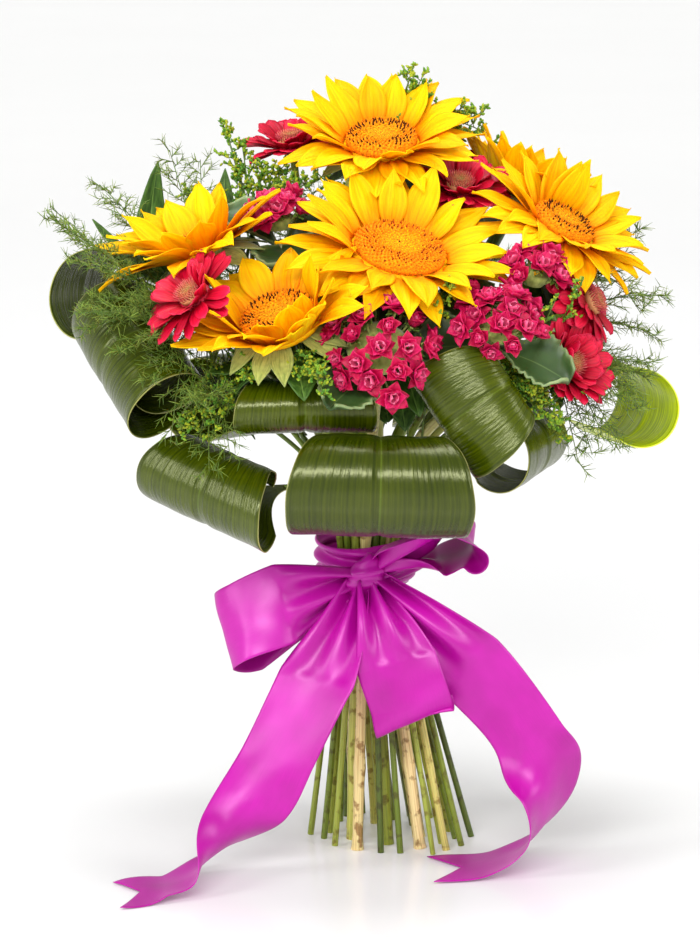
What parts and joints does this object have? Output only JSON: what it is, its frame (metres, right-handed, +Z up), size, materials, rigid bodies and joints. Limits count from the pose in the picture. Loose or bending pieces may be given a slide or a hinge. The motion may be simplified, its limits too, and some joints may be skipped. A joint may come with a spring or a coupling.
{
  "type": "mixed flower bouquet",
  "caption": "Hand-tied bouquet of sunflowers, mini gerberas and pink florets in a collar of folded leaves, tied with a satin bow and standing on its splayed cut stems.",
  "frame": {"origin": "on the floor, under the middle of the whole bouquet", "axes": "+Z up along the bundle of stems, -Y towards the side that faces the viewer, with the bow"},
  "size_m": [0.3866, 0.3128, 0.4809],
  "materials": {
    "twine": "matte natural twine",
    "ribbon_satin": "satin magenta",
    "leaf_green": "waxy glossy dark green leaf",
    "succulent_leaf": "matt grey-green fleshy leaf",
    "floret_pink": "soft pink petals",
    "goldenrod_green": "matt yellow-green buds",
    "fern_green": "matt green needles",
    "stem_green": "semi-matt green stem",
    "sunflower_disc": "matt velvety florets",
    "sunflower_petal": "soft matt yellow petals",
    "gerbera_disc": "matt coral florets",
    "gerbera_petal": "soft crimson petals"
  },
  "bodies": {
    "root": {"binding_twine": "twine", "fern_back": "fern_green", "fern_left": "fern_green", "fern_right": "fern_green", "gerbera_back_disc": "gerbera_disc", "gerbera_back_petals": "gerbera_petal", "gerbera_back_stem": "stem_green", "gerbera_left_disc": "gerbera_disc", "gerbera_left_petals": "gerbera_petal", "gerbera_left_stem": "stem_green", "gerbera_low_right_disc": "gerbera_disc", "gerbera_low_right_petals": "gerbera_petal", "gerbera_low_right_stem": "stem_green", "gerbera_right_disc": "gerbera_disc", "gerbera_right_petals": "gerbera_petal", "gerbera_right_stem": "stem_green", "gerbera_top_left_disc": "gerbera_disc", "gerbera_top_left_petals": "gerbera_petal", "gerbera_top_left_stem": "stem_green", "gerbera_top_right_disc": "gerbera_disc", "gerbera_top_right_petals": "gerbera_petal", "gerbera_top_right_stem": "stem_green", "goldenrod_left": "goldenrod_green", "goldenrod_right": "goldenrod_green", "goldenrod_top": "goldenrod_green", "kalanchoe_front_florets": "floret_pink", "kalanchoe_front_leaves": "succulent_leaf", "kalanchoe_left_florets": "floret_pink", "kalanchoe_left_leaves": "succulent_leaf", "kalanchoe_right_florets": "floret_pink", "kalanchoe_right_leaves": "succulent_leaf", "leaf_back_left": "leaf_green", "leaf_back_right": "leaf_green", "leaf_front_low": "leaf_green", "leaf_front_middle": "leaf_green", "leaf_left_back": "leaf_green", "leaf_left_low": "leaf_green", "leaf_left_wide": "leaf_green", "leaf_right_low": "leaf_green", "leaf_right_slant": "leaf_green", "leaf_right_wide": "leaf_green", "ribbon_bow": "ribbon_satin", "sunflower_front_disc": "sunflower_disc", "sunflower_front_petals": "sunflower_petal", "sunflower_front_stem": "stem_green", "sunflower_left_disc": "sunflower_disc", "sunflower_left_petals": "sunflower_petal", "sunflower_left_stem": "stem_green", "sunflower_low_left_disc": "sunflower_disc", "sunflower_low_left_petals": "sunflower_petal", "sunflower_low_left_stem": "stem_green", "sunflower_right_back_disc": "sunflower_disc", "sunflower_right_back_petals": "sunflower_petal", "sunflower_right_back_stem": "stem_green", "sunflower_right_disc": "sunflower_disc", "sunflower_right_petals": "sunflower_petal", "sunflower_right_stem": "stem_green", "sunflower_top_disc": "sunflower_disc", "sunflower_top_petals": "sunflower_petal", "sunflower_top_stem": "stem_green"}
  },
  "joints": []
}
